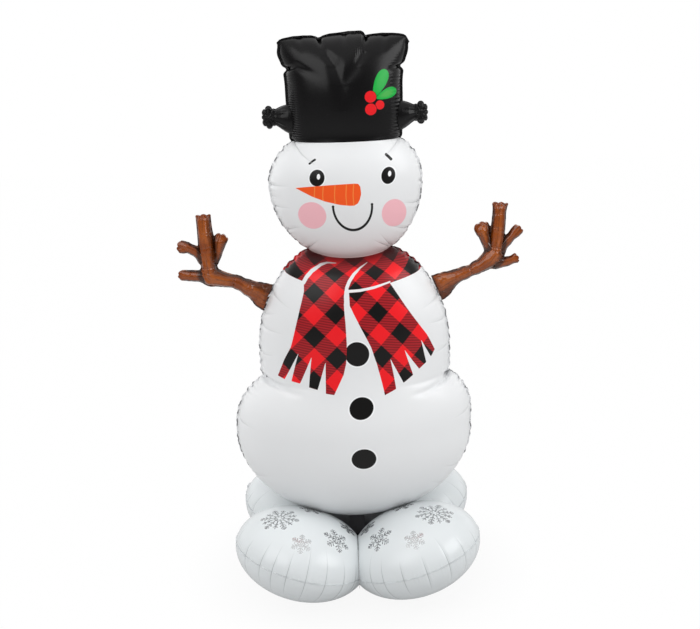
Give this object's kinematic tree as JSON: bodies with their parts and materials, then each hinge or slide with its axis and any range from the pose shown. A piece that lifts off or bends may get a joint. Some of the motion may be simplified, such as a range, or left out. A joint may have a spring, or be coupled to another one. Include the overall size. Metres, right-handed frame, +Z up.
{
  "type": "standing foil snowman",
  "caption": "Air-filled standing foil snowman with a top hat, printed face and plaid scarf, twig hands on film hinges and a cross-shaped cushion foot.",
  "frame": {"origin": "on the floor, below the middle of the foot", "axes": "+Z up, +X to the viewer's right when facing the snowman, front faces -Y"},
  "size_m": [0.8654, 0.635, 1.3968],
  "materials": {
    "figure_film": "satin white film with a printed face, scarf and buttons",
    "hat_film": "glossy black film",
    "hand_film": "glossy brown film with dark printed edges",
    "foot_film": "glossy white film with silver printed snowflakes",
    "tape": "clear film and tape"
  },
  "bodies": {
    "stand": {"hat_front_foil": "hat_film", "hat_back_foil": "hat_film", "head_front_foil": "figure_film", "head_back_foil": "figure_film", "torso_front_foil": "figure_film", "torso_back_foil": "figure_film", "belly_front_foil": "figure_film", "belly_back_foil": "figure_film", "left_arm_seal_strip": "tape", "right_arm_seal_strip": "tape", "front_left_lobe_top": "foot_film", "front_left_lobe_bottom": "foot_film", "front_right_lobe_top": "foot_film", "front_right_lobe_bottom": "foot_film", "rear_left_lobe_top": "foot_film", "rear_left_lobe_bottom": "foot_film", "rear_right_lobe_top": "foot_film", "rear_right_lobe_bottom": "foot_film", "base_web": "tape", "anchor_strap": "tape", "figure_valve_patch": "tape", "figure_valve_sleeve": "tape", "base_valve_collar": "tape"},
    "left_arm": {"left_arm_front_foil": "hand_film", "left_arm_back_foil": "hand_film"},
    "right_arm": {"right_arm_front_foil": "hand_film", "right_arm_back_foil": "hand_film"},
    "figure_tail": {"figure_valve_tail": "tape"},
    "foot_tail": {"base_valve_tail": "tape"}
  },
  "joints": [
    {"name": "left_arm_swing", "type": "hinge", "parent": "stand", "child": "left_arm", "pos_m": [-0.22591, 0, 0.75264], "axis": [0.3839, 0, 0.9234], "range_deg": [-40, 40], "stiffness_Nm_per_rad": 0.02},
    {"name": "right_arm_swing", "type": "hinge", "parent": "stand", "child": "right_arm", "pos_m": [0.22591, 0, 0.75264], "axis": [-0.3839, 0, 0.9234], "range_deg": [-40, 40], "stiffness_Nm_per_rad": 0.02},
    {"name": "figure_valve_tail_flip", "type": "hinge", "parent": "stand", "child": "figure_tail", "pos_m": [0, 0.18083, 0.39255], "axis": [1, 0, 0], "range_deg": [0, 110]},
    {"name": "base_valve_tail_flip", "type": "hinge", "parent": "stand", "child": "foot_tail", "pos_m": [-0.30627, 0.19157, 0.15932], "axis": [0.2813, 0.9596, 0], "range_deg": [0, 110]}
  ]
}
